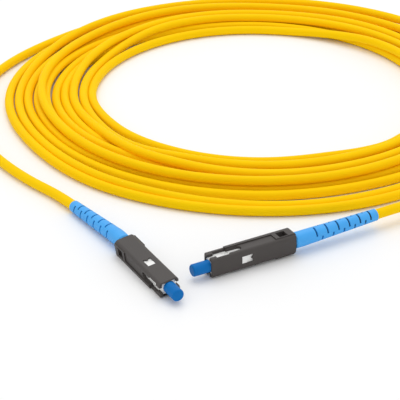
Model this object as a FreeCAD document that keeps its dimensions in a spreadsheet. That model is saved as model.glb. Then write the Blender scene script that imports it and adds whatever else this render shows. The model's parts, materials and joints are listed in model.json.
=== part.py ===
import FreeCAD, Part
import math
import os

import Sketcher

# Simplex fibre patch cord: a coiled cord with a miniature push-pull connector on each end.
# Each connector is drawn in its own frame: X points to the mating end, with zero at the front of
# the coupling sleeve, Y runs across the sleeve's width and Z through its height.

V = FreeCAD.Vector

# Driving dimensions in millimetres and degrees: alias, value, meaning.
SIZES = [
    ("cord_diameter", 3.0, "outer diameter of the jacketed cord"),
    ("buffer_diameter", 0.9, "buffered fibre inside the cord"),
    ("sleeve_length", 27.0, "coupling sleeve, front to rear"),
    ("sleeve_width", 5.95, "sleeve body, across Y"),
    ("sleeve_height", 4.4, "sleeve body, across Z"),
    ("grip_width", 6.6, "rear grip and key flanges, across Y"),
    ("grip_length", 6.4, "rear grip, along X"),
    ("nose_length", 5.9, "front of the sleeve, ahead of the key flanges"),
    ("flange_height", 0.9, "key flanges, up from the lower face"),
    ("crown_round", 1.0, "rounding of the upper face's long edges"),
    ("wing_drop", 0.75, "grip's side walls, below the upper face"),
    ("grip_taper", 0.5, "narrowing of the grip's rear, along X"),
    ("sleeve_chamfer", 0.35, "bevel round the sleeve's rear end"),
    ("nose_chamfer", 0.25, "bevel on the front ends of the long walls"),
    ("sleeve_travel", 1.2, "how far the sleeve slides on the plug frame"),
    ("slide_clearance", 0.05, "gap each side between sleeve and plug frame"),
    ("stop_gap", 0.1, "gap between a stop and what it stops"),
    ("mouth_width", 1.7, "latch slot at the front edge"),
    ("mouth_length", 2.0, "latch slot, length of the mouth"),
    ("latch_width", 3.1, "latch slot at its widest"),
    ("latch_length", 4.1, "latch slot, length of the wide part"),
    ("tail_width", 2.1, "latch slot behind the wide part"),
    ("slot_length", 10.3, "latch slot, whole length"),
    ("window_start", 9.5, "front edge of the stop window, behind the sleeve's front"),
    ("window_width", 2.3, "stop window, across Y"),
    ("tooth_width", 1.2, "tooth in the window's rear edge"),
    ("tooth_length", 0.6, "how far the tooth points forward"),
    ("hole_length", 2.7, "square hole in the grip, along X"),
    ("hole_width", 2.5, "square hole in the grip, across Z"),
    ("hole_inset", 1.3, "square hole, behind the grip's front edge"),
    ("frame_width", 4.2, "plug frame, across Y"),
    ("frame_height", 3.6, "plug frame, across Z"),
    ("frame_length", 16.6, "plug frame, along X"),
    ("frame_recess", 0.4, "plug frame's front, behind the sleeve's front"),
    ("frame_chamfer", 0.3, "bevel round the plug frame's front"),
    ("front_bore", 3.0, "plug frame's front bore, a diameter"),
    ("front_bore_depth", 6.0, "front bore, back from the frame's front"),
    ("web_thickness", 0.6, "wall between front bore and spring chamber"),
    ("web_hole", 1.5, "hole through that wall, a diameter"),
    ("chamber_bore", 2.9, "spring chamber, a diameter"),
    ("stud_length", 1.45, "stop stud on the plug frame, along X"),
    ("stud_width", 2.1, "stop stud, across Y"),
    ("stud_height", 0.3, "stop stud, above the plug frame"),
    ("notch_start", 4.0, "latch notch, behind the frame's front"),
    ("notch_length", 2.2, "latch notch, along X"),
    ("notch_width", 2.2, "latch notch, across Z"),
    ("notch_depth", 0.3, "latch notch, into the frame's side"),
    ("ferrule_diameter", 1.25, "ceramic ferrule"),
    ("ferrule_length", 7.2, "ceramic ferrule, along X"),
    ("ferrule_recess", 0.5, "ferrule tip, behind the plug frame's front"),
    ("ferrule_bevel", 0.15, "bevel on the ferrule's tip"),
    ("ferrule_travel", 0.9, "how far the ferrule springs back"),
    ("seat_gap", 0.05, "gap between the ferrule flange and its seat"),
    ("flange_diameter", 2.6, "metal flange on the ferrule"),
    ("flange_length", 1.5, "metal flange, along X"),
    ("hub_diameter", 1.8, "flange hub inside the spring"),
    ("hub_length", 2.4, "flange hub, along X"),
    ("spring_diameter", 2.55, "outside of the spring"),
    ("spring_wire", 0.3, "spring wire"),
    ("spring_turns", 6.0, "turns of the spring"),
    ("stop_length", 4.0, "stop ring inside the plug frame"),
    ("collar_diameter", 3.4, "stop ring's collar behind the plug frame"),
    ("collar_length", 1.0, "stop ring's collar, along X"),
    ("stem_diameter", 2.3, "stop ring's stem under the crimp"),
    ("stem_length", 5.3, "stop ring's stem, along X"),
    ("fibre_bore", 1.1, "passage for the fibre, a diameter"),
    ("seat_fit", 0.02, "radial gap at seated round joints"),
    ("yarn_thickness", 0.28, "strength yarn laid over the stem"),
    ("crimp_wall", 0.24, "wall of the crimp ring"),
    ("boot_seat", 2.25, "crimp ring's length inside the boot"),
    ("bore_clearance", 0.15, "radial gap between the grip's bore and the crimp ring"),
    ("boot_length", 28.0, "strain relief boot"),
    ("boot_front_diameter", 4.6, "boot beside the sleeve"),
    ("boot_rear_diameter", 3.5, "boot at the cord's exit"),
    ("boot_bevel", 0.3, "bevel on the boot's front edge"),
    ("boot_gap", 0.15, "gap between sleeve and boot"),
    ("boot_bend_radius", 20.0, "the bend in a boot, at the cord's axis"),
    ("slit_start", 6.6, "middle of the first slit, behind the boot's front"),
    ("slit_pitch", 3.75, "spacing of the slits in a row"),
    ("slit_width", 0.55, "slit, along the boot"),
    ("slit_span", 2.9, "slit, across the boot"),
    ("first_row_count", 6, "slits in the row that starts nearer the sleeve"),
    ("second_row_count", 5, "slits in the row between them, a quarter turn round"),
    ("cap_diameter", 3.5, "dust cap"),
    ("cap_length", 5.0, "dust cap, ahead of the sleeve"),
    ("cap_round", 0.5, "rounding of the dust cap's end"),
    ("spigot_diameter", 2.5, "dust cap inside the plug frame"),
    ("spigot_length", 3.4, "dust cap's spigot, along X"),
    ("cap_bore", 1.36, "dust cap's bore over the ferrule, a diameter"),
    ("coil_outer_radius", 84.6, "outside of the coil"),
    ("coil_inner_radius", 54.5, "inside of the coil"),
    ("coil_shift", 3.5, "inner circle, off the outer circle's centre"),
    ("coil_height", 6.4, "coil, up from the floor"),
    ("coil_bevel", 2.0, "bevel on the coil's edges"),
    ("coil_x", 11.36, "centre of the coil"),
    ("coil_y", 107.23, "centre of the coil"),
    ("left_front_x", -14.66, "front of the left sleeve"),
    ("left_front_y", -21.65, "front of the left sleeve"),
    ("left_yaw", 298.7, "the way the left connector points"),
    ("left_roll", 9.0, "the left connector lies on its wide face, one edge lifted"),
    ("left_tilt", 0.0, "how far the left connector's rear is lifted by its cord"),
    ("left_boot_bend", 6.5, "how far the left boot bends with its cord"),
    ("left_boot_roll", 17.0, "how far that bend leans down to the floor"),
    ("left_slit_turn", -17.0, "first row of slits, up from the bend's plane"),
    ("right_front_x", -4.5, "front of the right sleeve"),
    ("right_front_y", -11.4, "front of the right sleeve"),
    ("right_yaw", 208.6, "the way the right connector points"),
    ("right_roll", -90.0, "the right connector lies on its narrow side"),
    ("right_tilt", 1.1, "how far the right connector's rear is lifted by its cord"),
    ("right_boot_bend", 2.0, "how far the right boot bends with its cord"),
    ("right_boot_roll", 0.0, "how far that bend leans down to the floor"),
    ("right_slit_turn", 51.5, "first row of slits, up from the bend's plane"),
]

# The cord's free routes from boot to coil, after the two points that the boot sets.
LEFT_ROUTE = [
    V(-57.1, 40.9, 1.6), V(-65.1, 50.6, 1.54), V(-72.6, 61.8, 1.54), V(-78.7, 75.5, 1.54),
    V(-82.1, 90.8, 1.54), V(-82.3, 107.5, 1.54), V(-78.7, 124.1, 1.54), V(-71.5, 139.5, 1.54),
    V(-61.3, 153.5, 1.54), V(-49.1, 165.1, 1.54), V(-36.0, 174.9, 1.54),
]
RIGHT_ROUTE = [
    V(60.9, 26.4, 3.8), V(70.2, 35.7, 2.7), V(79.4, 47.5, 1.8), V(87.7, 61.5, 1.54),
    V(94.1, 77.2, 1.54), V(97.7, 93.9, 1.54), V(98.8, 111.0, 1.54), V(96.3, 127.9, 1.65),
    V(90.3, 143.1, 2.4), V(81.3, 155.5, 3.6),
]
STRAIGHT_EXIT = 9.0
ARC_SHARE = 0.45
DEGREES_PER_RADIAN = math.degrees(1)
WIRE_SIDES = 6
NEAR = 1e-6

doc = FreeCAD.newDocument("fibre_patch_cord")
sheet = doc.addObject("Spreadsheet::Sheet", "Sizes")
for row, (alias, value, meaning) in enumerate(SIZES, start=1):
    sheet.set(f"A{row}", meaning)
    sheet.set(f"B{row}", str(value))
    sheet.setAlias(f"B{row}", alias)
doc.recompute()

parts = []


def size(alias):
    """The number that the sheet holds under this alias."""
    return float(sheet.get(alias))


def bound(text):
    """An expression over sheet aliases, with the sheet's name put before each alias."""
    words = text.replace("(", "( ").replace(")", " )").split()
    return " ".join(f"Sizes.{word}" if word[0].isalpha() else word for word in words)


def total(sum_of_aliases):
    """The value of several sheet aliases added up."""
    return sum(size(alias) for alias in sum_of_aliases.split(" + "))


# Lengths along the connector that several pieces share, as expressions over the sheet.
CAVITY_LENGTH = "sleeve_length - grip_length"
FRAME_REAR = "frame_recess + frame_length"
WEB_REAR = "frame_recess + front_bore_depth + web_thickness"
FLANGE_FRONT = f"{WEB_REAR} + seat_gap"
FLANGE_REAR = f"{FLANGE_FRONT} + flange_length"
STOP_FRONT = f"{FRAME_REAR} - stop_length"
STEM_FRONT = f"{FRAME_REAR} + collar_length"
STEM_REAR = f"{STEM_FRONT} + stem_length"
JACKET_FRONT = f"{STEM_REAR} + stop_gap"
CRIMP_FRONT = f"{STEM_FRONT} + stop_gap"
BOOT_FRONT = "sleeve_length + boot_gap"
CRIMP_REAR = f"{BOOT_FRONT} + boot_seat"
BEND_START = f"{CRIMP_REAR} + stop_gap"
BOOT_REAR = f"{BOOT_FRONT} + boot_length"
FERRULE_TIP = "frame_recess + ferrule_recess"
FERRULE_REAR = f"{FERRULE_TIP} + ferrule_length"
CRIMP_RADIUS = "( cord_diameter / 2 + seat_fit + crimp_wall )"
STUD_FRONT = "window_start + stop_gap"
WINDOW_REAR = "window_start + stud_length + tooth_length + sleeve_travel + 2 * stop_gap"


def new_body(label):
    """An empty PartDesign body under its own label."""
    body = doc.addObject("PartDesign::Body", label)
    body.Label = label
    return body


def origin_feature(body, role):
    """One of the body's own origin planes or axes."""
    return next(item for item in body.Origin.OriginFeatures if item.Role == role)


def sketch_on(body, name, plane, lift=None):
    """An empty sketch on an origin plane of the body, lifted off it along its normal."""
    sketch = body.newObject("Sketcher::SketchObject", name)
    sketch.AttachmentSupport = (origin_feature(body, plane), [""])
    sketch.MapMode = "FlatFace"
    if lift:
        sketch.setExpression("AttachmentOffset.Base.z", bound(lift))
    return sketch


def bind(sketch, constraint, expression):
    """Add a dimension to the sketch and tie it to the sheet."""
    index = sketch.addConstraint(constraint)
    sketch.setExpression(f"Constraints[{index}]", bound(expression))


def add_loop(sketch, corners):
    """A closed outline with straight sides, whose corners are pairs of sheet expressions."""
    first = sketch.GeometryCount
    count = len(corners)
    around = [V(math.cos(2 * math.pi * k / count), math.sin(2 * math.pi * k / count), 0)
              for k in range(count)]
    for k in range(count):
        sketch.addGeometry(Part.LineSegment(around[k], around[(k + 1) % count]))
    for k, (across, along) in enumerate(corners):
        line = first + k
        following = first + (k + 1) % count
        sketch.addConstraint(Sketcher.Constraint("Coincident", line, 2, following, 1))
        bind(sketch, Sketcher.Constraint("DistanceX", -1, 1, line, 1, around[k].x), across)
        bind(sketch, Sketcher.Constraint("DistanceY", -1, 1, line, 1, around[k].y), along)


def add_circle(sketch, across, along, radius):
    """A circle whose centre and radius are sheet expressions."""
    circle = sketch.addGeometry(Part.Circle(V(0, 0, 0), V(0, 0, 1), 1))
    bind(sketch, Sketcher.Constraint("DistanceX", -1, 1, circle, 3, 0.1), across)
    bind(sketch, Sketcher.Constraint("DistanceY", -1, 1, circle, 3, 0.1), along)
    bind(sketch, Sketcher.Constraint("Radius", circle, 1), radius)


def rectangle(low_x, high_x, low_y, high_y):
    """The four corners of an upright rectangle."""
    return [(low_x, low_y), (high_x, low_y), (high_x, high_y), (low_x, high_y)]


def centred(low_x, high_x, width):
    """A rectangle that is centred on the X axis."""
    return rectangle(low_x, high_x, f"0 - ( {width} ) / 2", f"( {width} ) / 2")


def extrude(body, kind, name, sketch, length=None, symmetric=True):
    """A Pad or Pocket of the sketch; with no length a Pocket goes right through."""
    feature = body.newObject(f"PartDesign::{kind}", name)
    feature.Profile = sketch
    feature.SideType = "Symmetric" if symmetric else "One side"
    if length:
        feature.setExpression("Length", bound(length))
    else:
        feature.Type = "ThroughAll"
    body.Tip = feature
    return feature


def turn(body, kind, name, corners):
    """A Revolution or Groove about X, from an outline of (station, radius) corners."""
    sketch = sketch_on(body, f"{name}_outline", "XY_Plane")
    add_loop(sketch, corners)
    feature = body.newObject(f"PartDesign::{kind}", name)
    feature.Profile = sketch
    feature.ReferenceAxis = (origin_feature(body, "X_Axis"), [""])
    feature.Angle = 360
    body.Tip = feature
    return feature


def back(station):
    """A station behind the sleeve's front, as an X coordinate."""
    return f"0 - ( {station} )"


def tube_outline(front, rear, inner, outer):
    """The half section of a plain tube between two stations."""
    return rectangle(back(rear), back(front), inner, outer)


def slab(body, kind, name, plane, loops, length=None, lift=None, symmetric=True):
    """A Pad or Pocket of one or more straight-sided outlines on an origin plane."""
    sketch = sketch_on(body, f"{name}_outline", plane, lift)
    for corners in loops:
        add_loop(sketch, corners)
    return extrude(body, kind, name, sketch, length, symmetric)


def edges_where(feature, test):
    """The names of a feature's edges whose two ends both pass the test."""
    found = []
    for number, edge in enumerate(feature.Shape.Edges, start=1):
        if all(test(vertex.Point) for vertex in edge.Vertexes):
            found.append(f"Edge{number}")
    return found


def dress(body, kind, name, feature, edges, dimension, alias):
    """A Chamfer or Fillet of the named edges, with its size tied to the sheet."""
    trim = body.newObject(f"PartDesign::{kind}", name)
    trim.Base = (feature, edges)
    trim.setExpression(dimension, bound(alias))
    body.Tip = trim
    return trim


def coupling_sleeve(label):
    """Moulded sleeve that slides on the plug frame: key flanges, latch slots, stop windows, grip."""
    body = new_body(label)
    rear = back("sleeve_length")
    block = slab(body, "Pad", f"{label}_body", "XY_Plane", [centred(rear, "0", "sleeve_width")],
                 "sleeve_height")
    doc.recompute()
    top = size("sleeve_height") / 2
    long_edges = [name for name in edges_where(block, lambda point: abs(point.z - top) < NEAR)
                  if abs(block.Shape.getElement(name).tangentAt(0).x) > NEAR]
    crowned = dress(body, "Fillet", f"{label}_crown", block, long_edges, "Radius", "crown_round")
    doc.recompute()
    end = -size("sleeve_length")
    rim = edges_where(crowned, lambda point: abs(point.x - end) < NEAR)
    bevelled = dress(body, "Chamfer", f"{label}_rear_bevel", crowned, rim, "Size", "sleeve_chamfer")
    doc.recompute()
    nose = edges_where(bevelled, lambda point: abs(point.x) < NEAR)
    dress(body, "Chamfer", f"{label}_nose_bevel", bevelled, nose, "Size", "nose_chamfer")
    shoulder = back("sleeve_length - grip_taper")
    grip_front = back(CAVITY_LENGTH)
    grip_side = "grip_width / 2"
    tapered_side = f"{grip_side} - sleeve_chamfer"
    grip = [(grip_front, grip_side), (shoulder, grip_side), (rear, tapered_side),
            (rear, f"0 - ( {tapered_side} )"), (shoulder, f"0 - {grip_side}"),
            (grip_front, f"0 - {grip_side}")]
    floor = "0 - sleeve_height / 2"
    slab(body, "Pad", f"{label}_grip", "XY_Plane", [grip], "sleeve_height - wing_drop", floor,
         symmetric=False)
    flange = centred(grip_front, back("nose_length"), "grip_width")
    slab(body, "Pad", f"{label}_flange", "XY_Plane", [flange], "flange_height", floor, symmetric=False)

    cavity = centred(back(CAVITY_LENGTH), "0", "frame_width + 2 * slide_clearance")
    slab(body, "Pocket", f"{label}_cavity", "XY_Plane", [cavity], "frame_height + 2 * slide_clearance")
    turn(body, "Groove", f"{label}_rear_bore",
         tube_outline(CAVITY_LENGTH, "sleeve_length", "0", f"{CRIMP_RADIUS} + bore_clearance"))

    mouth = back("mouth_length")
    wide = back("mouth_length + latch_length")
    tail = back("slot_length - tail_width / 2")
    half = [("0", "mouth_width / 2"), (mouth, "mouth_width / 2"), (mouth, "latch_width / 2"),
            (wide, "latch_width / 2"), (wide, "tail_width / 2"), (tail, "tail_width / 2")]
    mirrored = [(station, f"0 - {height}") for station, height in reversed(half)]
    slab(body, "Pocket", f"{label}_latch_slots", "XZ_Plane", [half + mirrored])
    sketch = sketch_on(body, f"{label}_slot_end_outline", "XZ_Plane")
    add_circle(sketch, tail, "0", "tail_width / 2")
    extrude(body, "Pocket", f"{label}_slot_ends", sketch)

    window_front = back("window_start")
    window_rear = back(WINDOW_REAR)
    tip = back(f"{WINDOW_REAR} - tooth_length")
    window = [(window_front, "0 - window_width / 2"), (window_front, "window_width / 2"),
              (window_rear, "window_width / 2"), (window_rear, "tooth_width / 2"), (tip, "0"),
              (window_rear, "0 - tooth_width / 2"), (window_rear, "0 - window_width / 2")]
    slab(body, "Pocket", f"{label}_stop_windows", "XY_Plane", [window])

    hole_front = f"{CAVITY_LENGTH} + hole_inset"
    hole = centred(back(f"{hole_front} + hole_length"), back(hole_front), "hole_width")
    slab(body, "Pocket", f"{label}_grip_holes", "XZ_Plane", [hole])
    return body


def plug_frame(label):
    """White inner frame: bores for cap, ferrule and spring, stop studs and latch notches."""
    body = new_body(label)
    front = back("frame_recess")
    block = slab(body, "Pad", f"{label}_block", "XY_Plane",
                 [centred(back(FRAME_REAR), front, "frame_width")], "frame_height")
    doc.recompute()
    rim = edges_where(block, lambda point: abs(point.x + size("frame_recess")) < NEAR)
    dress(body, "Chamfer", f"{label}_front_bevel", block, rim, "Size", "frame_chamfer")
    bores = [(front, "0"), (front, "front_bore / 2")]
    stations = [("frame_recess + front_bore_depth", "front_bore / 2", "web_hole / 2"),
                (WEB_REAR, "web_hole / 2", "chamber_bore / 2")]
    for station, before, after in stations:
        bores += [(back(station), before), (back(station), after)]
    bores += [(back(FRAME_REAR), "chamber_bore / 2"), (back(FRAME_REAR), "0")]
    turn(body, "Groove", f"{label}_bores", bores)
    stud = centred(back(f"{STUD_FRONT} + stud_length"), back(STUD_FRONT), "stud_width")
    notch_front = "frame_recess + notch_start"
    notch_rear = f"{notch_front} + notch_length"
    outer = "frame_width / 2"
    inner = f"{outer} - notch_depth"
    slab(body, "Pad", f"{label}_upper_stud", "XY_Plane", [stud], "stud_height", "frame_height / 2",
         symmetric=False)
    lower = slab(body, "Pad", f"{label}_lower_stud", "XY_Plane", [stud], "stud_height",
                 "0 - frame_height / 2", symmetric=False)
    lower.Reversed = True
    notches = [rectangle(back(notch_rear), back(notch_front), inner, outer),
               rectangle(back(notch_rear), back(notch_front), f"0 - {outer}", f"0 - ( {inner} )")]
    slab(body, "Pocket", f"{label}_latch_notches", "XY_Plane", notches, "notch_width")
    return body


def dust_cap(label):
    """Plain round cap whose hollow spigot sits in the plug frame, over the ferrule's tip."""
    body = new_body(label)
    seat = "0 - ( frame_recess - stop_gap )"
    spigot_end = f"{seat} - spigot_length"
    radius = "cap_diameter / 2"
    outline = [(spigot_end, "cap_bore / 2"), (seat, "cap_bore / 2"), (seat, "0"), ("cap_length", "0"),
               ("cap_length", radius), (seat, radius), (seat, "spigot_diameter / 2"),
               (spigot_end, "spigot_diameter / 2")]
    turned = turn(body, "Revolution", f"{label}_turned", outline)
    doc.recompute()
    rim = edges_where(turned, lambda point: abs(point.x - size("cap_length")) < NEAR)
    dress(body, "Fillet", f"{label}_rounded", turned, rim, "Radius", "cap_round")
    return body


def ferrule(label):
    """Ceramic ferrule with a bevelled tip."""
    body = new_body(label)
    radius = "ferrule_diameter / 2"
    outline = [(back(FERRULE_TIP), "0"), (back(FERRULE_TIP), f"{radius} - ferrule_bevel"),
               (back(f"{FERRULE_TIP} + ferrule_bevel"), radius), (back(FERRULE_REAR), radius),
               (back(FERRULE_REAR), "0")]
    turn(body, "Revolution", f"{label}_turned", outline)
    return body


def ferrule_flange(label):
    """Metal flange pressed on the ferrule's rear, with a hub that the spring goes round."""
    body = new_body(label)
    seat = "ferrule_diameter / 2"
    passage = "fibre_bore / 2"
    hub_rear = f"{FLANGE_REAR} + hub_length"
    outline = [(back(FLANGE_FRONT), seat), (back(FLANGE_FRONT), "flange_diameter / 2"),
               (back(FLANGE_REAR), "flange_diameter / 2"), (back(FLANGE_REAR), "hub_diameter / 2"),
               (back(hub_rear), "hub_diameter / 2"), (back(hub_rear), passage),
               (back(FERRULE_REAR), passage), (back(FERRULE_REAR), seat)]
    turn(body, "Revolution", f"{label}_turned", outline)
    return body


def spring(label):
    """Helical spring between ferrule flange and stop ring, its round wire drawn six-sided."""
    body = new_body(label)
    start = back(f"{FLANGE_REAR} + spring_wire / 2 + seat_gap")
    middle = "spring_diameter / 2 - spring_wire / 2"
    run = f"{STOP_FRONT} - ( {FLANGE_REAR} ) - spring_wire - 2 * seat_gap"
    sketch = sketch_on(body, f"{label}_wire", "XY_Plane")
    angles = [2 * math.pi * k / WIRE_SIDES for k in range(WIRE_SIDES)]
    add_loop(sketch, [(f"{start} + spring_wire / 2 * ( {math.cos(angle):.6f} )",
                       f"{middle} + spring_wire / 2 * ( {math.sin(angle):.6f} )") for angle in angles])
    helix = body.newObject("PartDesign::AdditiveHelix", f"{label}_helix")
    helix.Profile = sketch
    helix.ReferenceAxis = (origin_feature(body, "X_Axis"), [""])
    helix.Mode = "height-turns-angle"
    helix.Reversed = True
    helix.setExpression("Height", bound(run))
    helix.setExpression("Turns", bound("spring_turns"))
    body.Tip = helix
    return body


def stop_ring(label):
    """Ring that closes the plug frame behind the spring, with a stem for the crimp."""
    body = new_body(label)
    passage = "fibre_bore / 2"
    shaft = "chamber_bore / 2 - seat_fit"
    outline = [(back(STOP_FRONT), passage), (back(STOP_FRONT), shaft), (back(FRAME_REAR), shaft),
               (back(FRAME_REAR), "collar_diameter / 2"), (back(STEM_FRONT), "collar_diameter / 2"),
               (back(STEM_FRONT), "stem_diameter / 2"), (back(STEM_REAR), "stem_diameter / 2"),
               (back(STEM_REAR), passage)]
    turn(body, "Revolution", f"{label}_turned", outline)
    return body


def strength_yarn(label):
    """Yarn from the cord, laid over the stem and held there by the crimp ring."""
    body = new_body(label)
    inner = "stem_diameter / 2"
    outline = tube_outline(CRIMP_FRONT, STEM_REAR, inner, f"{inner} + yarn_thickness")
    turn(body, "Revolution", f"{label}_laid", outline)
    return body


def crimp_ring(label):
    """Thin metal ring crimped over the yarn in front and over the jacket behind."""
    body = new_body(label)
    over_yarn = "stem_diameter / 2 + yarn_thickness + seat_fit"
    over_jacket = "cord_diameter / 2 + seat_fit"
    outline = [(back(CRIMP_FRONT), over_yarn), (back(CRIMP_FRONT), CRIMP_RADIUS),
               (back(CRIMP_REAR), CRIMP_RADIUS), (back(CRIMP_REAR), over_jacket),
               (back(STEM_REAR), over_jacket), (back(STEM_REAR), over_yarn)]
    turn(body, "Revolution", f"{label}_turned", outline)
    return body


def buffered_fibre(label):
    """Buffered fibre from behind the ferrule, through spring and stop ring, into the cord."""
    body = new_body(label)
    front = f"{FERRULE_REAR} + ferrule_travel + stop_gap"
    turn(body, "Revolution", f"{label}_drawn",
         tube_outline(front, JACKET_FRONT, "0", "buffer_diameter / 2"))
    return body


def bend_length(side):
    """The length of a boot's bend, as an expression over the sheet."""
    return f"boot_bend_radius * {side}_boot_bend / {DEGREES_PER_RADIAN}"


def tail_length(side):
    """The length of a boot behind its bend, as an expression over the sheet."""
    return f"( {BOOT_REAR} - ( {BEND_START} ) - {bend_length(side)} )"


def tail_frame(side):
    """The frame on the cord's axis where the bend ends, with X still towards the mating end."""
    bend = FreeCAD.Rotation(V(0, 0, 1), size(f"{side}_boot_bend"))
    start = V(-total(BEND_START), 0, 0)
    centre = start + V(0, -size("boot_bend_radius"), 0)
    return FreeCAD.Placement(V(), bend, centre).multiply(FreeCAD.Placement(start, FreeCAD.Rotation()))


def elbow(body, side, radii):
    """The bend: round sections carried about an upright axis beside the cord."""
    sketch = sketch_on(body, f"{body.Label}_elbow_section", "YZ_Plane", back(BEND_START))
    sketch.setExpression("AttachmentOffset.Base.x", bound("0 - boot_bend_radius"))
    for radius in radii:
        add_circle(sketch, "boot_bend_radius", "0", radius)
    feature = body.newObject("PartDesign::Revolution", f"{body.Label}_elbow")
    feature.Profile = sketch
    feature.ReferenceAxis = (sketch, ["V_Axis"])
    feature.setExpression("Angle", bound(f"{side}_boot_bend"))
    body.Tip = feature


def tail(body, side, corners):
    """The straight length behind the bend, turned about the cord's axis there."""
    sketch = sketch_on(body, f"{body.Label}_tail_outline", "XY_Plane")
    sketch.AttachmentOffset = tail_frame(side)
    add_loop(sketch, corners)
    feature = body.newObject("PartDesign::Revolution", f"{body.Label}_tail")
    feature.Profile = sketch
    feature.ReferenceAxis = (sketch, ["H_Axis"])
    feature.Angle = 360
    body.Tip = feature
    return sketch


def jacket_end(label, side):
    """The cord's own end, through the boot and into the crimp ring."""
    body = new_body(label)
    radius = "cord_diameter / 2"
    turn(body, "Revolution", f"{label}_drawn", tube_outline(JACKET_FRONT, BEND_START, "0", radius))
    elbow(body, side, [radius])
    tail(body, side, tube_outline("0", tail_length(side), "0", radius))
    return body


def boot(label, side):
    """Tapered strain relief boot, bent with the cord, with two crossed rows of slits through it."""
    body = new_body(label)
    front = "boot_front_diameter / 2"
    over_crimp = f"{CRIMP_RADIUS} + seat_fit"
    over_cord = "cord_diameter / 2 + seat_fit"
    outline = [(back(BOOT_FRONT), over_crimp), (back(BOOT_FRONT), f"{front} - boot_bevel"),
               (back(f"{BOOT_FRONT} + boot_bevel"), front), (back(BEND_START), front),
               (back(BEND_START), over_cord), (back(CRIMP_REAR), over_cord),
               (back(CRIMP_REAR), over_crimp)]
    turn(body, "Revolution", f"{label}_collar", outline)
    elbow(body, side, [front, over_cord])
    rear = back(tail_length(side))
    axis = tail(body, side, [("0", over_cord), ("0", front), (rear, "boot_rear_diameter / 2"),
                             (rear, over_cord)])
    slit_turn = size(f"{side}_slit_turn")
    first = f"{BOOT_FRONT} + slit_start - ( {BEND_START} ) - {bend_length(side)}"
    rows = [("first", first, slit_turn - 90), ("second", f"{first} + slit_pitch / 2", slit_turn)]
    for row, station, facing in rows:
        sketch = sketch_on(body, f"{label}_{row}_slit_outline", "XY_Plane")
        across = FreeCAD.Placement(V(), FreeCAD.Rotation(V(1, 0, 0), facing))
        sketch.AttachmentOffset = tail_frame(side).multiply(across)
        ends = [back(f"{station} + slit_width / 2"), back(f"{station} - slit_width / 2")]
        add_loop(sketch, centred(*ends, "slit_span"))
        cut = extrude(body, "Pocket", f"{label}_{row}_slit", sketch)
        slits = body.newObject("PartDesign::LinearPattern", f"{label}_{row}_slits")
        slits.Originals = [cut]
        slits.Direction = (axis, ["H_Axis"])
        slits.Reversed = True
        slits.Mode = "Spacing"
        slits.setExpression("Offset", bound("slit_pitch"))
        slits.setExpression("Occurrences", bound(f"{row}_row_count"))
        body.Tip = slits
    return body


def placement_on_floor(side, turned):
    """Where a piece lies, turned about the connector's axis: a key flange's edge touches the floor."""
    tilt = size(f"{side}_tilt")
    heading = FreeCAD.Rotation(V(0, 0, 1), size(f"{side}_yaw")).multiply(FreeCAD.Rotation(V(0, 1, 0), tilt))
    roll = math.radians(size(f"{side}_roll"))
    span = size("grip_width") * abs(math.sin(roll)) + size("sleeve_height") * abs(math.cos(roll))
    half_span = max(span, size("boot_front_diameter")) / 2
    height = half_span * math.cos(math.radians(tilt)) - size("nose_length") * math.sin(math.radians(tilt))
    base = V(size(f"{side}_front_x"), size(f"{side}_front_y"), height)
    return FreeCAD.Placement(base, heading.multiply(FreeCAD.Rotation(V(1, 0, 0), size(f"{side}_{turned}"))))


def tangent_arc(before, corner, after):
    """The arc that rounds a corner of the route, with its two tangent points and its radius."""
    to_before = before - corner
    to_after = after - corner
    reach = ARC_SHARE * min(to_before.Length, to_after.Length)
    to_before.normalize()
    to_after.normalize()
    half_turn = (math.pi - to_before.getAngle(to_after)) / 2
    radius = reach / math.tan(half_turn)
    inward = to_before + to_after
    inward.normalize()
    start = corner + to_before * reach
    end = corner + to_after * reach
    middle = corner + inward * (radius / math.cos(half_turn) - radius)
    return start, middle, end, radius


def cord_tube(label, route):
    """A round cord along straight runs and the largest tangent arcs that they leave room for."""
    edges = []
    radii = []
    here = route[0]
    for before, corner, after in zip(route, route[1:], route[2:]):
        start, middle, end, radius = tangent_arc(before, corner, after)
        edges.append(Part.LineSegment(here, start).toShape())
        edges.append(Part.Arc(start, middle, end).toShape())
        radii.append(radius)
        here = end
    edges.append(Part.LineSegment(here, route[-1]).toShape())
    path = Part.Wire(edges)
    radius = size("cord_diameter") / 2
    ring = Part.Wire([Part.makeCircle(radius, route[0], route[1] - route[0])])
    shape = path.makePipeShell([ring], True, False)
    expected = math.pi * radius ** 2 * path.Length
    print(f"{label}: length {path.Length:.1f} mm, radii {[round(value) for value in radii]},",
          f"volume {shape.Volume:.1f} against {expected:.1f} mm3")
    tube = doc.addObject("Part::Feature", label)
    tube.Label = label
    tube.Shape = shape
    tube.Placement = FreeCAD.Placement()
    return tube


def coil(label):
    """The wound length as one solid: a bevelled ring, thinner on the side where its turns bunch."""
    body = new_body(label)
    ring = sketch_on(body, f"{label}_ring", "XY_Plane")
    add_circle(ring, "0", "0", "coil_outer_radius")
    extrude(body, "Pad", f"{label}_disc", ring, "coil_height", symmetric=False)
    eye = sketch_on(body, f"{label}_eye", "XY_Plane")
    add_circle(eye, "coil_shift", "0", "coil_inner_radius")
    cut = extrude(body, "Pocket", f"{label}_opened", eye)
    doc.recompute()
    edges = [f"Edge{number}" for number, edge in enumerate(cut.Shape.Edges, start=1)
             if edge.Closed and edge.Curve.TypeId == "Part::GeomCircle"]
    dress(body, "Chamfer", f"{label}_bevelled", cut, edges, "Size", "coil_bevel")
    body.Placement = FreeCAD.Placement(V(size("coil_x"), size("coil_y"), 0), FreeCAD.Rotation())
    return body


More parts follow.
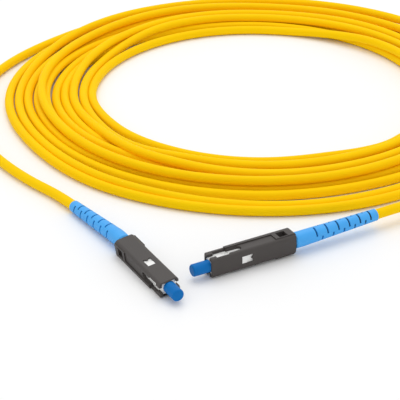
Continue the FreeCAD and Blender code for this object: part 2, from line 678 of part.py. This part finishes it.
CONNECTOR_PIECES = {
    "dust_cap": dust_cap,
    "coupling_sleeve": coupling_sleeve,
    "plug_frame": plug_frame,
    "ferrule": ferrule,
    "ferrule_flange": ferrule_flange,
    "spring": spring,
    "stop_ring": stop_ring,
    "strength_yarn": strength_yarn,
    "crimp_ring": crimp_ring,
    "buffered_fibre": buffered_fibre,
}
CORD_END_PIECES = {
    "jacket_end": jacket_end,
    "boot": boot,
}

for side, free_route in (("left", LEFT_ROUTE), ("right", RIGHT_ROUTE)):
    for name, make in CONNECTOR_PIECES.items():
        piece = make(f"{side}_{name}")
        piece.Placement = placement_on_floor(side, "roll")
        parts.append(piece)
    along_cord = placement_on_floor(side, "boot_roll")
    for name, make in CORD_END_PIECES.items():
        piece = make(f"{side}_{name}", side)
        piece.Placement = along_cord
        parts.append(piece)
    behind_bend = along_cord.multiply(tail_frame(side))
    bend = size("boot_bend_radius") * math.radians(size(f"{side}_boot_bend"))
    boot_end = total(BOOT_REAR) - total(BEND_START) - bend
    exits = [behind_bend.multVec(V(-reach, 0, 0)) for reach in (boot_end, boot_end + STRAIGHT_EXIT)]
    print(f"{side} cord leaves its boot at {exits[0]} and is free from {exits[1]}")
    parts.append(cord_tube(f"{side}_lead", exits + free_route))
parts.append(coil("coil"))

doc.recompute()
for item in doc.Objects:
    if "Invalid" in item.State or "Error" in item.State:
        raise RuntimeError(f"{item.Label} did not build: {item.State}")
os.makedirs("parts", exist_ok=True)
for piece in parts:
    if piece.Shape.isNull() or not piece.Shape.isValid():
        raise RuntimeError(f"{piece.Label} has no valid shape")
    if len(piece.Shape.Solids) != 1:
        raise RuntimeError(f"{piece.Label} has {len(piece.Shape.Solids)} solids")
    piece.Shape.exportStep(f"parts/{piece.Label}.step")
    box = piece.Shape.BoundBox
    print(f"{piece.Label}: volume {piece.Shape.Volume:.2f} mm3,",
          f"x {box.XMin:.2f} to {box.XMax:.2f}, y {box.YMin:.2f} to {box.YMax:.2f},",
          f"z {box.ZMin:.2f} to {box.ZMax:.2f}")
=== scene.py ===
# %% [markdown]
# # A fibre patch cord
# A patch cord joins two sockets in a rack of fibre equipment. One thin glass fibre runs inside a
# yellow jacket, and each end carries a small push-pull connector under a dust cap. The connectors
# come from the imported model as solids. This lesson adds what solids can't show: the long loose cord,
# the springs' wire, the light, and the finish of each material. Lengths are in metres, unless
# a name says millimetres.

# %% Load the solids as a fixed frame
import json
import math

import bpy
import numpy as np
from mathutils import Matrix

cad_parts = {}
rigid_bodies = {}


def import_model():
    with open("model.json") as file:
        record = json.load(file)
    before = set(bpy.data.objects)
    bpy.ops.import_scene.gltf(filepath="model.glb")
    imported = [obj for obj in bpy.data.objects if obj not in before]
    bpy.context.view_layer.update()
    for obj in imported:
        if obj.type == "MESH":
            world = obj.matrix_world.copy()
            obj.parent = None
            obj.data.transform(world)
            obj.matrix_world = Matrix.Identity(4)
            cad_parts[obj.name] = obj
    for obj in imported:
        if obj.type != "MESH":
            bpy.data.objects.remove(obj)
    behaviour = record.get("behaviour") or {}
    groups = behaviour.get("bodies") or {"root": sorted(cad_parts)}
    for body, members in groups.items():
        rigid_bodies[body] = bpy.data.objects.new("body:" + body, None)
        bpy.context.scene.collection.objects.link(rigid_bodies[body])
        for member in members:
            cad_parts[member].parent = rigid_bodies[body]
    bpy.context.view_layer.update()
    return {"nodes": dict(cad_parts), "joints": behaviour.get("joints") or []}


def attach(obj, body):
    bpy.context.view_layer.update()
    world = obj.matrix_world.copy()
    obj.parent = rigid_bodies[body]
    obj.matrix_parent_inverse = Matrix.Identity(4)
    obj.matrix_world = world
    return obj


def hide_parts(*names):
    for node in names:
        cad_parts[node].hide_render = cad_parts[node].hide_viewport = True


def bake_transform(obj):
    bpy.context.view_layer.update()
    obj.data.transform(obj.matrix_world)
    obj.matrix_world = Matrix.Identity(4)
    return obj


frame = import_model()
nodes = frame["nodes"]
scene = bpy.context.scene

# %% [markdown]
# ## Camera
# The object lies on a table and is seen from the front, from a little above, through a long lens. A
# long lens keeps near and far parts at about the same scale. The camera could be aimed with a
# constraint, but here its place follows from three plain facts: the point that it looks at, how far
# away it stands, and how steeply it looks down.

# %% Camera
LOOK_AT = np.array([-0.00664, 0.03273, 0.0])
VIEW_DISTANCE = 0.45
VIEW_DOWN = math.radians(28)
NEAREST_SEEN = 0.01
SENSOR_WIDTH_MM = 36.0
IMAGE_WIDTH_PIXELS = 400
FOCAL_LENGTH_PIXELS = 1512

toward = np.array([0.0, math.cos(VIEW_DOWN), -math.sin(VIEW_DOWN)])
camera_data = bpy.data.cameras.new("camera")
camera_data.sensor_width = SENSOR_WIDTH_MM
camera_data.lens = SENSOR_WIDTH_MM * FOCAL_LENGTH_PIXELS / IMAGE_WIDTH_PIXELS
camera_data.clip_start = NEAREST_SEEN
camera = bpy.data.objects.new("camera", camera_data)
camera.location = LOOK_AT - VIEW_DISTANCE * toward
camera.rotation_euler = (math.pi / 2 - VIEW_DOWN, 0, 0)
scene.collection.objects.link(camera)
scene.camera = camera
print("camera at", [round(value, 4) for value in camera.location], "lens", round(camera_data.lens, 1))

# %% [markdown]
# ## The cord's two leads
# A real cord is one length from boot to boot, so it is one open curve here too. A NURBS curve of
# order 3 only leans on its control points, which gives the even bends of a springy jacket, while a
# curve through every point would wobble. The two leads are listed points: each starts where
# the cord leaves its boot, runs straight for a little way, and then swings out and back to the coil.

# %% Lead points
CORD_DIAMETER = 0.003
LEFT_LEAD = [
    (-0.0434, 0.02531, 0.00188), (-0.04855, 0.03269, 0.00158), (-0.0571, 0.0409, 0.0016),
    (-0.0651, 0.0506, 0.00154), (-0.0726, 0.0618, 0.00154), (-0.0787, 0.0755, 0.00154),
    (-0.0821, 0.0908, 0.00154), (-0.0822, 0.1075, 0.00154), (-0.0787, 0.1241, 0.00154),
    (-0.0715, 0.1395, 0.00154), (-0.0613, 0.1535, 0.00154), (-0.0499, 0.1658, 0.00154),
    (-0.0368, 0.1760, 0.00154),
]
RIGHT_LEAD = [
    (0.04348, 0.01576, 0.00424), (0.05122, 0.02034, 0.00442), (0.0609, 0.0264, 0.0038),
    (0.0702, 0.0357, 0.0027), (0.0794, 0.0475, 0.0018), (0.0877, 0.0615, 0.00154),
    (0.0941, 0.0772, 0.00154), (0.0977, 0.0939, 0.00154), (0.0984, 0.1110, 0.00154),
    (0.0963, 0.1279, 0.00165), (0.0903, 0.1431, 0.0024), (0.0813, 0.1555, 0.0040),
]
print("lead points:", len(LEFT_LEAD), "left and", len(RIGHT_LEAD), "right")

# %% [markdown]
# ## The coil
# The rest of the cord is wound by hand into loose flat turns. Seen from above it winds clockwise: the
# first turns lie on the table and work inwards, a few come back out on top of them, and the last one
# returns to the outside. Loose turns differ in size: at the front they lie two deep, and at the left
# more of them lie side by side. So each turn has its own radius at six places, and eases over from
# one to the next. All turns are worked out at once in polar form about the coil's centre, as an angle
# and a radius for every point, so that one rule can compare a point with the turns under it.

# %% Radii of the turns
COIL_CENTRE = np.array([0.01136, 0.10723])
COIL_START = math.radians(125)
COIL_END = math.radians(34.6)
# How far the cord has swept when it passes the far side, the right, the front right, the front left,
# the near left and the left of its first turn.
PASSES = np.radians([35, 165, 197, 245, 277, 307])
START_RADIUS_MM = 83.9
# Each turn's radii at those six places, in the order of winding.
TURN_RADII_MM = [
    (82.6, 84.6, 84.8, 83.9, 81.6, 82.9), (79.6, 77.2, 75.1, 74.6, 75.0, 76.7),
    (76.5, 72.0, 70.8, 70.4, 71.9, 73.6), (73.3, 68.8, 67.6, 67.2, 68.8, 70.5),
    (70.1, 65.7, 64.4, 64.0, 65.7, 67.4), (66.9, 62.4, 61.0, 60.7, 62.6, 64.3),
    (63.0, 58.3, 52.7, 52.0, 52.9, 55.0), (58.8, 62.9, 61.9, 59.4, 56.6, 58.1),
    (64.9, 67.3, 66.3, 64.8, 59.7, 61.2), (68.5, 71.2, 71.4, 71.0, 70.4, 72.0),
    (75.0, 81.5, 81.7, 80.8, 78.5, 79.8),
]
# The last turn passes the far side once more, and ends at the right lead.
END_RADII_MM = (81.4, 85.0)

turn_count = len(TURN_RADII_MM)
sweep = math.tau * turn_count + COIL_START - COIL_END
print("turns:", round(sweep / math.tau, 2))

# %% Radius of every point
MILLIMETRES_PER_METRE = 1000
POINTS_PER_TURN = 36
# The hand's small waves: their size, how many there are to a turn, and where they start.
RIPPLES = [(0.00015, 2.37, 0.4), (0.0001, 3.61, 1.7)]


def smooth_step(share):
    """0 before the step, 1 after it, and 3 t^2 - 2 t^3 between."""
    t = np.clip(share, 0, 1)
    return t * t * (3 - 2 * t)


def turn_radius(swept):
    """The radius after an angle swept clockwise: smooth steps from each radius in the table to the
    next one, and a little ripple."""
    passes = PASSES + math.tau * np.arange(turn_count)[:, None]
    places = np.concatenate([[0], passes.ravel(), [passes[-1, 0] + math.tau, sweep]])
    radii = np.concatenate([[START_RADIUS_MM], np.ravel(TURN_RADII_MM), END_RADII_MM])
    radii = radii / MILLIMETRES_PER_METRE
    before = np.clip(np.searchsorted(places, swept) - 1, 0, len(places) - 2)
    share = (swept - places[before]) / (places[before + 1] - places[before])
    ripple = sum(size * np.sin(pace * swept + phase) for size, pace, phase in RIPPLES)
    return radii[before] + smooth_step(share) * (radii[before + 1] - radii[before]) + ripple


step = math.tau / POINTS_PER_TURN
swept = np.arange(step, sweep - step / 2, step)
radius = turn_radius(swept)
print("coil points:", len(swept))

# %% [markdown]
# ## How high each turn lies
# A turn lies on the table, or on the turns that were laid before it. Two round cords whose centres
# are a distance x apart sideways can be no nearer than one diameter d, so the upper one lies
# sqrt(d^2 - x^2) above the lower one. The rule is used on whole arrays: the list of radii is compared
# with itself one turn back, two turns back and so on. The jacket is too stiff to follow every step,
# so each round ends with a running mean along the cord.

# %% Height of every turn
SETTLE_ROUNDS = 6
STIFF_POINTS = 3


def eased(height):
    """The running mean over a few points along the cord."""
    padded = np.pad(height, STIFF_POINTS // 2, mode="edge")
    return np.convolve(padded, np.ones(STIFF_POINTS) / STIFF_POINTS, mode="valid")


def resting_height(radius):
    """Height of the cord's middle: half a diameter on the table, or one diameter off any earlier turn."""
    height = np.full(len(radius), CORD_DIAMETER / 2)
    for _ in range(SETTLE_ROUNDS):
        under = np.full(len(radius), CORD_DIAMETER / 2)
        for lag in range(POINTS_PER_TURN, len(radius), POINTS_PER_TURN):
            apart = radius[lag:] - radius[:-lag]
            lift = np.sqrt(np.clip(CORD_DIAMETER ** 2 - apart ** 2, 0, None))
            raised = np.maximum(under[lag:], height[:-lag] + lift)
            under[lag:] = np.where(np.abs(apart) < CORD_DIAMETER, raised, under[lag:])
        height = eased(under)
    return height


height = resting_height(radius)
angle = COIL_START - swept
coil_points = np.column_stack([COIL_CENTRE[0] + radius * np.cos(angle),
                               COIL_CENTRE[1] + radius * np.sin(angle), height])
lowest, highest = (round(value * MILLIMETRES_PER_METRE, 2) for value in (height.min(), height.max()))
print("the turns' middles lie from", lowest, "to", highest, "mm up")

# %% [markdown]
# ## One curve for the whole cord
# The left lead, the turns and the right lead, taken backwards, are the control points of one spline.
# A bevel depth of one metre, scaled at every point by half the cord's diameter, makes it a round
# tube. The scale sits on the points because Blender adds it to the curve's box, so the box comes out
# true. The order and the end points are set after the points are added, because Blender limits the
# order to the number of points that are there.

# %% Cord
CURVE_ORDER = 3
BEVEL_DEPTH = 1.0
# Blender makes 4 and twice this many sides, so the tube has 16.
BEVEL_RESOLUTION = 6
STEPS_BETWEEN_POINTS = 4

cord_points = np.vstack([LEFT_LEAD, coil_points, RIGHT_LEAD[::-1]])
cord_data = bpy.data.curves.new("cord", "CURVE")
cord_data.dimensions = "3D"
cord_data.bevel_depth = BEVEL_DEPTH
cord_data.bevel_resolution = BEVEL_RESOLUTION
cord_data.use_fill_caps = True
spline = cord_data.splines.new("NURBS")
spline.points.add(len(cord_points) - 1)
spline.points.foreach_set("co", np.column_stack([cord_points, np.ones(len(cord_points))]).ravel())
spline.points.foreach_set("radius", np.full(len(cord_points), CORD_DIAMETER / 2))
spline.order_u = CURVE_ORDER
spline.use_endpoint_u = True
spline.resolution_u = STEPS_BETWEEN_POINTS
spline.use_smooth = True
cord = bpy.data.objects.new("cord", cord_data)
scene.collection.objects.link(cord)
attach(cord, "cord")
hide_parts("coil", "left_lead", "right_lead")
print("cord:", round(spline.calc_length(), 3), "m along its line")

# %% [markdown]
# ## Springs
# Behind each ferrule's flange sits a small spring, wound from drawn steel wire. It lets the ferrule
# give way when it meets its partner in a socket. A curve with a bevel would have the same shape, but
# only a mesh can shorten with the joint, so the wire is worked out as a surface: a ring of points
# carried along a helix.

# %% Wire of a spring
SPRING_TURNS = 6
SPRING_RADIUS = 0.001125
SPRING_RISE = 0.00405
WIRE_RADIUS = 0.00015
SEAT_GAP = 0.00005
STEPS_PER_TURN = 36
WIRE_SIDES = 12


def wire_on_helix(foot, along):
    """Rings of points round a helix. With t from 0 to 1, the wire's middle is
    foot + along (gap + r + rise t) + R out, where out turns n times about along. A ring is
    r (out cos b + up sin b), where up is square to out and to the wire's run."""
    t = np.linspace(0, 1, SPRING_TURNS * STEPS_PER_TURN + 1)[:, None]
    turned = math.tau * SPRING_TURNS * t
    side = np.cross(along, (0, 0, 1))
    side = side / np.linalg.norm(side)
    other = np.cross(along, side)
    out = np.cos(turned) * side + np.sin(turned) * other
    ahead = np.cos(turned) * other - np.sin(turned) * side
    middle = foot + (SEAT_GAP + WIRE_RADIUS + SPRING_RISE * t) * along + SPRING_RADIUS * out
    run = math.tau * SPRING_TURNS * SPRING_RADIUS * ahead + SPRING_RISE * along
    up = np.cross(run, out)
    up = up / np.linalg.norm(up, axis=1, keepdims=True)
    b = np.linspace(0, math.tau, WIRE_SIDES, endpoint=False)[:, None]
    return middle[:, None] + WIRE_RADIUS * (np.cos(b) * out[:, None] + np.sin(b) * up[:, None])


def tube_faces(ring_count):
    """Four-sided faces from each ring of points to the next, and one flat face across each end."""
    first = WIRE_SIDES * np.arange(ring_count - 1)[:, None]
    here = np.arange(WIRE_SIDES)
    beside = np.roll(here, -1)
    walls = np.stack([first + here, first + beside,
                      first + WIRE_SIDES + beside, first + WIRE_SIDES + here], axis=-1)
    rear_end, front_end = here[::-1], WIRE_SIDES * (ring_count - 1) + here
    return [*walls.reshape(-1, 4).tolist(), rear_end.tolist(), front_end.tolist()]


print("wire:", SPRING_TURNS * STEPS_PER_TURN + 1, "rings of", WIRE_SIDES, "points")

# %% [markdown]
# ## Springs in place
# The frame names each piece that changes its length with a joint, and says where its fixed end is and
# which way it runs. Each spring's wire is built from that fixed end at the stop ring, along that way to
# the flange, and takes the place of the solid spring at the length that it is built with.

# %% Springs
springs = []
for joint in frame["joints"]:
    for row in joint.get("deforming_nodes", []):
        foot, along = np.array(row["fixed_end_m"]), np.array(row["axis"])
        rings = wire_on_helix(foot, along)
        spring_mesh = bpy.data.meshes.new(f"{row['node']}_wire")
        spring_mesh.from_pydata(rings.reshape(-1, 3).tolist(), [], tube_faces(len(rings)))
        spring_mesh.shade_smooth()
        spring = bpy.data.objects.new(spring_mesh.name, spring_mesh)
        scene.collection.objects.link(spring)
        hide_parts(row["node"])
        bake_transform(spring)
        springs.append(spring)
        print(spring.name, "between", joint["parent"], "and", joint["child"])

# %% [markdown]
# ## Table and lamp
# The cord lies on a plain table, in even light from all round and under one wide lamp. A small lamp
# would give hard shadows and glints. The wide one is weak too: it only adds the soft shadows that
# tell where each part touches the table, and the whole light stays at a plain level, at which a colour
# comes out about as it is written.

# %% Table and lamp
TABLE_HALF_WIDTH = 3.0
# The table lies a hair under the object, so that no two faces share a plane.
TABLE_DROP = 0.00005
LAMP_DISTANCE = 1.6
LAMP_SIZE = 1.3
LAMP_RISE = math.radians(68)
LAMP_POWER = 8

scene.view_settings.view_transform = "Standard"
corners = TABLE_HALF_WIDTH * np.array([[-1, -1], [1, -1], [1, 1], [-1, 1]])
table_points = np.column_stack([corners, np.full(len(corners), -TABLE_DROP)])
table_mesh = bpy.data.meshes.new("table")
table_mesh.from_pydata(table_points.tolist(), [], [(0, 1, 2, 3)])
table = bpy.data.objects.new("table", table_mesh)
scene.collection.objects.link(table)

lamp_data = bpy.data.lights.new("lamp", "AREA")
lamp_data.size = LAMP_SIZE
lamp_data.energy = LAMP_POWER
lamp = bpy.data.objects.new("lamp", lamp_data)
lamp.location = LOOK_AT + LAMP_DISTANCE * np.array([0, math.cos(LAMP_RISE), math.sin(LAMP_RISE)])
lamp.rotation_euler = (LAMP_RISE - math.pi / 2, 0, 0)
scene.collection.objects.link(lamp)
print("lamp:", LAMP_POWER, "W over", LAMP_SIZE, "m at", [round(value, 2) for value in lamp.location])

# %% [markdown]
# ## White table
# The table is smooth card with a dull sheen. Its white comes from its own pale colour, and not from
# more light, so it keeps the object's soft shadows. Colours are picked as sRGB hex values, as on a
# screen, while the shader works in linear light, so one function converts them. Another starts every
# material here: one Principled shader with its plain values set.

# %% White table
TABLE_WHITE = "#FAFAFA"
TABLE_ROUGHNESS = 0.45
TABLE_IOR = 1.35


def linear(hex_colour):
    """An sRGB hex colour as linear RGBA: c / 12.92 when dark, else ((c + 0.055) / 1.055) ^ 2.4."""
    channels = np.array([int(hex_colour[i:i + 2], 16) for i in (1, 3, 5)]) / 255
    light = np.where(channels <= 0.04045, channels / 12.92, ((channels + 0.055) / 1.055) ** 2.4)
    return (*light.tolist(), 1.0)


def new_surface(name, **inputs):
    """A material with one Principled shader, whose plain values are set by socket name."""
    material = bpy.data.materials.new(name)
    material.use_nodes = True
    shader = material.node_tree.nodes["Principled BSDF"]
    for socket, value in inputs.items():
        shader.inputs[socket.replace("_", " ")].default_value = value
    return material, material.node_tree, shader


table_material, _, _ = new_surface("white_table", Base_Color=linear(TABLE_WHITE),
                                   Roughness=TABLE_ROUGHNESS, IOR=TABLE_IOR)
table_mesh.materials.append(table_material)
print(table_material.name, "on the table")

# %% [markdown]
# ## Light from all round
# The world lights the object evenly, as in a tent of white cloth. Where the camera or a reflection sees
# it, it is plain white, so that the metal shows a white room. A picture of a studio could do this, but
# two plain strengths are enough, and the Light Path node tells which of them a ray gets. One small
# function adds a node, sets its options and links its inputs.

# %% World
WORLD_LIGHT = 0.82
WORLD_SEEN = 1.0


def add_node(tree, kind, inputs=None, **settings):
    """One node with its options; an input that is a socket is linked, and any other value is set."""
    node = tree.nodes.new(kind)
    for name, value in settings.items():
        setattr(node, name, value)
    for name, value in (inputs or {}).items():
        if isinstance(value, bpy.types.NodeSocket):
            tree.links.new(value, node.inputs[name])
        else:
            node.inputs[name].default_value = value
    return node


world = bpy.data.worlds.new("even_light")
world.use_nodes = True
scene.world = world
world_tree = world.node_tree
background = world_tree.nodes["Background"]
background.inputs["Color"].default_value = linear("#FFFFFF")
rays = add_node(world_tree, "ShaderNodeLightPath").outputs
# A Math node's inputs share one name, so they are told apart by their places.
mirrored = add_node(world_tree, "ShaderNodeMath", {0: rays["Is Camera Ray"], 1: rays["Is Glossy Ray"]},
                    operation="MAXIMUM").outputs["Value"]
seen = add_node(world_tree, "ShaderNodeMath", {0: mirrored, 1: rays["Is Transmission Ray"]},
                operation="MAXIMUM").outputs["Value"]
strength = add_node(world_tree, "ShaderNodeMapRange",
                    {"Value": seen, "To Min": WORLD_LIGHT, "To Max": WORLD_SEEN})
world_tree.links.new(strength.outputs["Result"], background.inputs["Strength"])
print("world gives", WORLD_LIGHT, "and is seen as", WORLD_SEEN)

# %% [markdown]
# ## One recipe for moulded, drawn and turned finishes
# No real surface has one flat colour. Pigment and cooling leave soft patches that differ a little in
# colour and gloss, and the mould, die or tool leaves a fine grain in relief. Painted pictures could show
# that, but noise worked out in the material has no seams, and its scale follows from a size in
# millimetres. The grain of such small pieces is really a few hundredths of a millimetre wide, too fine
# to show, so every grain below is drawn several times as coarse.

# %% The recipe
# How many finer layers each noise has.
PATCH_DETAIL = 3.0
GRAIN_DETAIL = 4.0
# A Mix node has sockets for every type of value under the same names. These are its colours' places.
MIX_FIRST, MIX_SECOND, MIX_RESULT = 6, 7, 2


def per_metre(size_mm):
    """The texture scale at which one feature is this many millimetres wide."""
    return MILLIMETRES_PER_METRE / size_mm


def moulded(name, light, dark, patch_mm, grain_mm, grain_depth_mm, rough, **inputs):
    """A moulded or drawn finish: two near colours in soft patches, a fine grain in relief, and a
    gloss that is a little uneven over the same patches."""
    material, tree, shader = new_surface(name, **inputs)
    place = add_node(tree, "ShaderNodeTexCoord").outputs["Object"]
    patches = add_node(tree, "ShaderNodeTexNoise", {"Vector": place, "Scale": per_metre(patch_mm),
                                                    "Detail": PATCH_DETAIL}).outputs["Fac"]
    colour = add_node(tree, "ShaderNodeMix", {"Factor": patches, MIX_FIRST: linear(dark),
                                              MIX_SECOND: linear(light)}, data_type="RGBA")
    gloss = add_node(tree, "ShaderNodeMapRange", {"Value": patches, "To Min": rough[0],
                                                  "To Max": rough[1]})
    grain = add_node(tree, "ShaderNodeTexNoise", {"Vector": place, "Scale": per_metre(grain_mm),
                                                  "Detail": GRAIN_DETAIL}).outputs["Fac"]
    relief = add_node(tree, "ShaderNodeBump", {"Height": grain,
                                               "Distance": grain_depth_mm / MILLIMETRES_PER_METRE})
    tree.links.new(colour.outputs[MIX_RESULT], shader.inputs["Base Color"])
    tree.links.new(gloss.outputs["Result"], shader.inputs["Roughness"])
    tree.links.new(relief.outputs["Normal"], shader.inputs["Normal"])
    return material


def dress(material, *names):
    """Give a material to the solids of these names, at both ends of the cord where they have a side."""
    for name in names:
        for node in (name, f"left_{name}", f"right_{name}"):
            if node in nodes:
                nodes[node].data.materials.clear()
                nodes[node].data.materials.append(material)
    print(material.name, "on", ", ".join(names))


# %% [markdown]
# ## Cord jacket
# The jacket is soft PVC, pressed hot through a round die over the yarn and the fibre. A plain colour
# would do from afar, but close by the long turns would look like painted wire. Two near yellows in
# patches of some millimetres and a very shallow grain break that up.

# %% Cord jacket
# Soft PVC from a die is smooth and satin: a warm full yellow, with hardly any glint.
cord_jacket = moulded("pvc_jacket", light="#FFD404", dark="#FFCA03", patch_mm=9, grain_mm=0.5,
                      grain_depth_mm=0.006, rough=(0.5, 0.6), IOR=1.53, Specular_IOR_Level=0.04)
dress(cord_jacket, "coil", "lead")
cord_data.materials.append(cord_jacket)

# %% [markdown]
# ## Jacket inside the boots
# Through a boot's slits a little of the cord's end can be seen. It is the same PVC, deep in the shade
# of narrow slits that look dark on the real boot. In its own yellow it would show here as bright
# lines, so this end of the jacket has that shade painted on: a dark olive in place of its yellow.

# %% Jacket inside the boots
# The same satin PVC with the deep shade of the slits painted in: a dark olive.
painted_shade_jacket = moulded("pvc_jacket_in_shade", light="#3A3A20", dark="#2E2E1A", patch_mm=9,
                        grain_mm=0.5, grain_depth_mm=0.006, rough=(0.5, 0.6), IOR=1.53,
                        Specular_IOR_Level=0.04)
dress(painted_shade_jacket, "jacket_end")

# %% [markdown]
# ## Boot
# The boot is injection moulded from a soft elastomer, so that it bends with the cord. Such a material
# has a dull skin and looks a little chalky. A layer of sheen could show that, but an even, half dull
# gloss is enough at this size.

# %% Boot
# Soft elastomer has a broad, dull highlight that pales its sky blue.
boot_elastomer = moulded("chalky_boot_elastomer", light="#42AEF6", dark="#38A2F0", patch_mm=4,
                         grain_mm=0.25, grain_depth_mm=0.008, rough=(0.42, 0.52), IOR=1.49)
dress(boot_elastomer, "boot")

# %% [markdown]
# ## Coupling sleeve
# The sleeve is a stiff plastic with a filler, moulded in a tool whose walls were eroded by sparks. The
# sparks leave the tool finely pitted, and every sleeve comes out matt, which hides finger marks. The
# pits could be modelled, but they are far too small, so they are a relief in the material.

# %% Coupling sleeve
# Filled plastic from a pitted mould is matt: a warm dark grey with a visible grain and no glints.
sleeve_plastic = moulded("filled_sleeve_plastic", light="#423D3A", dark="#393432", patch_mm=3,
                         grain_mm=0.2, grain_depth_mm=0.02, rough=(0.5, 0.62), IOR=1.5)
dress(sleeve_plastic, "coupling_sleeve")

# %% [markdown]
# ## Plug frame
# The white frame inside the sleeve is a plain plastic without filler, from a polished mould, because
# the sleeve has to slide on it. Pure white would be the simplest choice, but its edges and recesses
# would melt into one bright patch, so the colour stays a little below full white.

# %% Plug frame
# Plastic from a polished mould is glossy: a clean white with soft reflections.
frame_plastic = moulded("white_frame_plastic", light="#F4F4F2", dark="#EEEEEC", patch_mm=3,
                        grain_mm=0.3, grain_depth_mm=0.004, rough=(0.28, 0.36), IOR=1.5)
dress(frame_plastic, "plug_frame")

# %% [markdown]
# ## Dust cap
# The cap is soft polyethylene, which slips on and off the ferrule without scratching it. Polyethylene
# is a little waxy. Light that wanders under the surface could be worked out, but a deep blue lets so
# little of it back out that a satin surface looks the same.

# %% Dust cap
# Waxy polyethylene is satin: a deep royal blue with a soft, weak highlight.
cap_plastic = moulded("cap_polyethylene", light="#0E72BE", dark="#0C68B0", patch_mm=2.5, grain_mm=0.3,
                      grain_depth_mm=0.008, rough=(0.4, 0.5), IOR=1.51, Specular_IOR_Level=0.1)
dress(cap_plastic, "dust_cap")

# %% [markdown]
# ## Ferrule
# The ferrule is a rod of zirconia, a hard ceramic, ground to size within a thousandth of a millimetre.
# It only shows when the cap is off. Its high IOR gives it the bright reflections of a glaze, so no
# clear coat is needed.

# %% Ferrule
# Ground zirconia is a creamy white with sharp, bright reflections.
zirconia = moulded("ground_zirconia", light="#F6F4EE", dark="#EFECE4", patch_mm=1.5, grain_mm=0.1,
                   grain_depth_mm=0.001, rough=(0.12, 0.2), IOR=2.15)
dress(zirconia, "ferrule")

# %% [markdown]
# ## Metal pieces
# The flange and the spring are steel, the stop ring is brass, and the crimp ring is soft aluminium,
# which folds well. All four are tiny, and turned or drawn. Brushed lines could follow the tool's way
# round, but they would be finer than anything that shows here, so a plain fine grain breaks up the gloss.

# %% Metal pieces
# Turned steel is a neutral grey mirror, slightly blurred.
steel = moulded("turned_steel", light="#C4C4C2", dark="#B4B4B2", patch_mm=1, grain_mm=0.12,
                grain_depth_mm=0.002, rough=(0.24, 0.34), Metallic=1.0)
dress(steel, "ferrule_flange", "spring")
for spring in springs:
    spring.data.materials.append(steel)
# Turned brass has the same blur, and tints what it reflects yellow.
brass = moulded("turned_brass", light="#CDB27C", dark="#C0A267", patch_mm=1, grain_mm=0.12,
                grain_depth_mm=0.002, rough=(0.24, 0.34), Metallic=1.0)
dress(brass, "stop_ring")
# Drawn aluminium is paler and duller than steel.
aluminium = moulded("drawn_aluminium", light="#D8D9DA", dark="#CBCCCE", patch_mm=1.5, grain_mm=0.15,
                    grain_depth_mm=0.003, rough=(0.3, 0.4), Metallic=1.0)
dress(aluminium, "crimp_ring")

# %% [markdown]
# ## Yarn and fibre
# Under the jacket, strong aramid yarn takes the pull, and a thin plastic buffer protects the glass
# fibre. Both are hidden inside the connector. The yarn could be drawn thread by thread, but here it is
# one layer under the crimp ring, with a deeper grain for the threads.

# %% Yarn and fibre
# Bare aramid is dull and straw coloured.
yarn = moulded("bare_aramid_yarn", light="#E4C05C", dark="#D2A63C", patch_mm=0.8, grain_mm=0.08,
               grain_depth_mm=0.02, rough=(0.55, 0.7))
dress(yarn, "strength_yarn")
# The extruded buffer is smooth, satin and off white.
buffer_plastic = moulded("extruded_fibre_buffer", light="#F4EFDF", dark="#EAE4D0", patch_mm=1,
                         grain_mm=0.2, grain_depth_mm=0.003, rough=(0.35, 0.45), IOR=1.5)
dress(buffer_plastic, "buffered_fibre")
